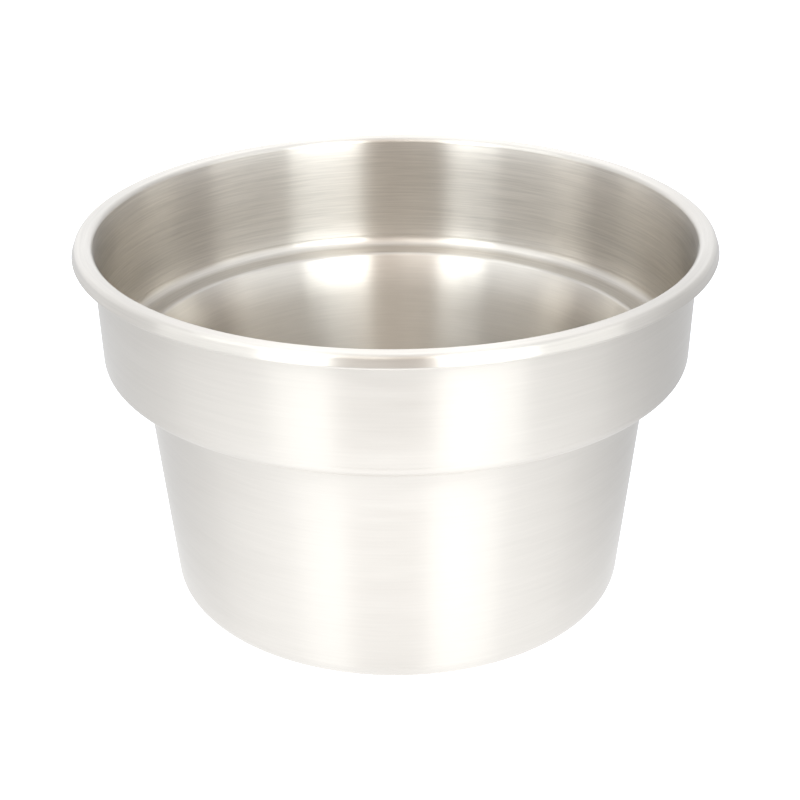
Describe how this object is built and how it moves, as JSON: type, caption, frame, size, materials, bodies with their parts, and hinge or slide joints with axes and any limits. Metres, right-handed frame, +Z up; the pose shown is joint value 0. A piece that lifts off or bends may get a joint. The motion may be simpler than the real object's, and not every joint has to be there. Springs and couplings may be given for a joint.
{
  "type": "soup kettle inset pan",
  "caption": "Open round stainless steel pan of a soup kettle: flared, tapered body, flat ledge, wider collar and a rolled rim that hangs it in a round opening.",
  "frame": {"origin": "centre of the underside of the base, which is the pan's lowest face", "axes": "+Z up along the pan's axis, out of its mouth; +X and +Y are free, because the pan is round"},
  "size_m": [0.32, 0.32, 0.193],
  "materials": {
    "steel": "satin brushed stainless steel, with fine grain lines that run round the pan"
  },
  "bodies": {
    "root": {"base": "steel", "body": "steel", "neck": "steel", "ledge": "steel", "collar": "steel", "rim": "steel"}
  },
  "joints": []
}
